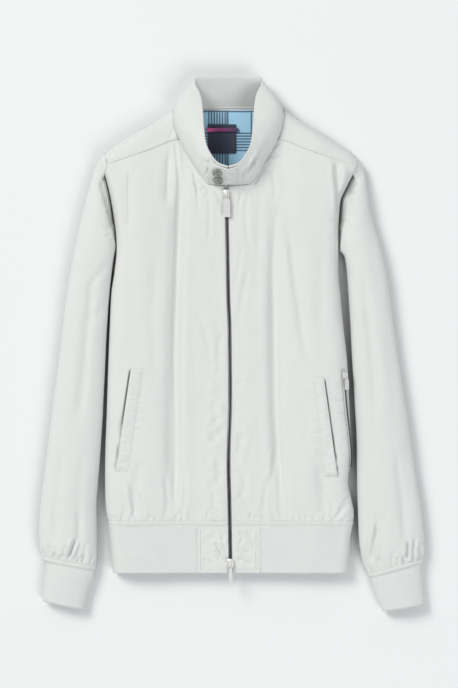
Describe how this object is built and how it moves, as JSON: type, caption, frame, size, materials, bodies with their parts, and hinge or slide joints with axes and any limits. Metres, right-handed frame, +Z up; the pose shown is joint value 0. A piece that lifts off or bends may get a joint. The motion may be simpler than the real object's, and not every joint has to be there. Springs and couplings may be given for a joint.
{
  "type": "bomber jacket",
  "caption": "Light zipped bomber jacket laid out on its back, with stand collar, throat tab, welt pockets, rib cuffs and rib waistband",
  "frame": {"origin": "middle of the jacket's footprint, on the surface it lies on", "axes": "+X to the right of the front, +Y towards the collar, +Z up out of the front"},
  "size_m": [0.5787, 0.8028, 0.0651],
  "materials": {
    "shell_cloth": "light woven cotton and polyamide, matt with a slight sheen",
    "knitted_rib": "fine knitted rib, matt",
    "checked_lining": "plain woven check, matt",
    "label_weave": "close woven label, matt",
    "loop_ribbon": "grosgrain ribbon",
    "zip_tape": "woven zip tape",
    "dark_metal": "dark gunmetal, satin",
    "silver_metal": "bright silver, satin",
    "button_stone": "grey sew-through button, polished"
  },
  "bodies": {
    "jacket": {"front_left": "shell_cloth", "front_right": "shell_cloth", "back": "shell_cloth", "sleeve_left": "shell_cloth", "sleeve_right": "shell_cloth", "hem_end_left": "shell_cloth", "hem_end_right": "shell_cloth", "collar": "shell_cloth", "collar_tab": "shell_cloth", "welt_left": "shell_cloth", "welt_right": "shell_cloth", "hem_rib": "knitted_rib", "cuff_left": "knitted_rib", "cuff_right": "knitted_rib", "neck_lining": "checked_lining", "label": "label_weave", "hanger_loop": "loop_ribbon", "zip_tape_left": "zip_tape", "zip_tape_right": "zip_tape", "side_zip_tape": "zip_tape", "zip_chain": "dark_metal", "zip_slider_top": "silver_metal", "zip_slider_bottom": "silver_metal", "side_zip_chain": "dark_metal", "side_zip_slider": "silver_metal", "collar_button_upper": "button_stone", "collar_button_lower": "button_stone"},
    "pull_top": {"zip_pull_top": "silver_metal"},
    "pull_bottom": {"zip_pull_bottom": "silver_metal"},
    "pull_side": {"side_zip_pull": "silver_metal"}
  },
  "joints": [
    {"name": "top_pull_swing", "type": "hinge", "parent": "jacket", "child": "pull_top", "pos_m": [-0.00775, 0.2234, 0.0364], "axis": [-1, 0, 0], "range_deg": [0, 110]},
    {"name": "bottom_pull_swing", "type": "hinge", "parent": "jacket", "child": "pull_bottom", "pos_m": [-0.00185, -0.3286, 0.0298], "axis": [-1, 0, 0], "range_deg": [0, 120]},
    {"name": "side_pull_swing", "type": "hinge", "parent": "jacket", "child": "pull_side", "pos_m": [0.1713, -0.0474, 0.03237], "axis": [-0.8423, -0.0777, 0.5334], "range_deg": [0, 120]}
  ]
}
